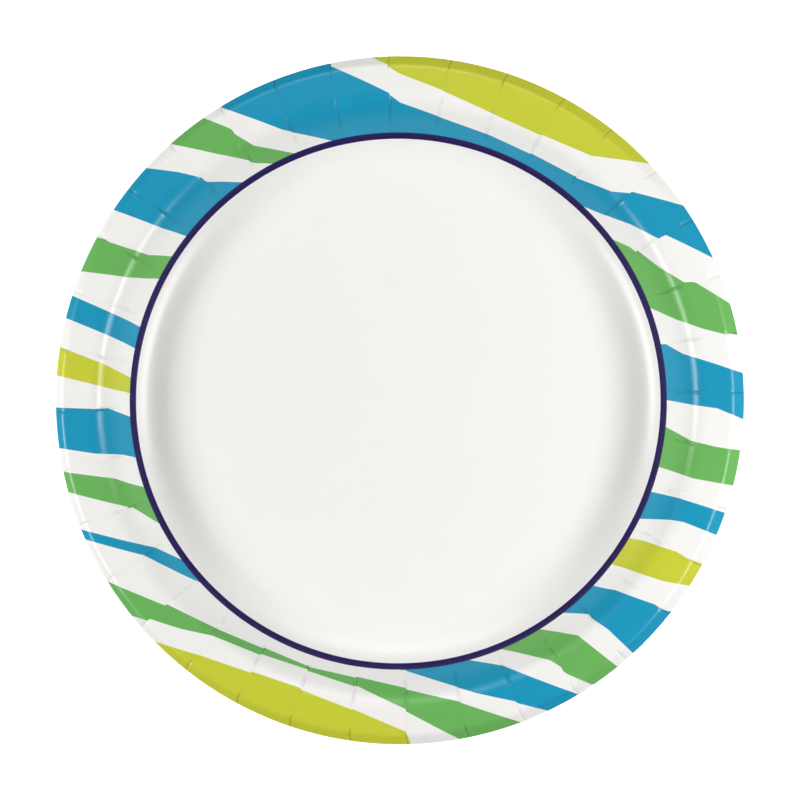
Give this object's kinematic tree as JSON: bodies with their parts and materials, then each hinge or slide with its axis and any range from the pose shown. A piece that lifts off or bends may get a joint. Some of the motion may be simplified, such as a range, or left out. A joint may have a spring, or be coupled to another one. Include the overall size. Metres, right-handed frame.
{
  "type": "stack of paper plates",
  "caption": "Nested stack of round pressed paperboard dinner plates with sloping walls and a striped pleated rim, for serving food.",
  "frame": {"origin": "centre of the bottom plate's underside, where the stack stands", "axes": "+Z up along the plates' common axis; +X and +Y are level, with +X to the right and +Y up in a view from straight above"},
  "size_m": [0.254, 0.254, 0.0257],
  "materials": {
    "coated_board": "clay coated and varnished face with printed stripes, plain matte underside"
  },
  "bodies": {
    "root": {"plate_01": "coated_board", "plate_02": "coated_board", "plate_03": "coated_board", "plate_04": "coated_board", "plate_05": "coated_board", "plate_06": "coated_board", "plate_07": "coated_board", "plate_08": "coated_board", "plate_09": "coated_board", "plate_10": "coated_board", "plate_11": "coated_board", "plate_12": "coated_board"}
  },
  "joints": []
}
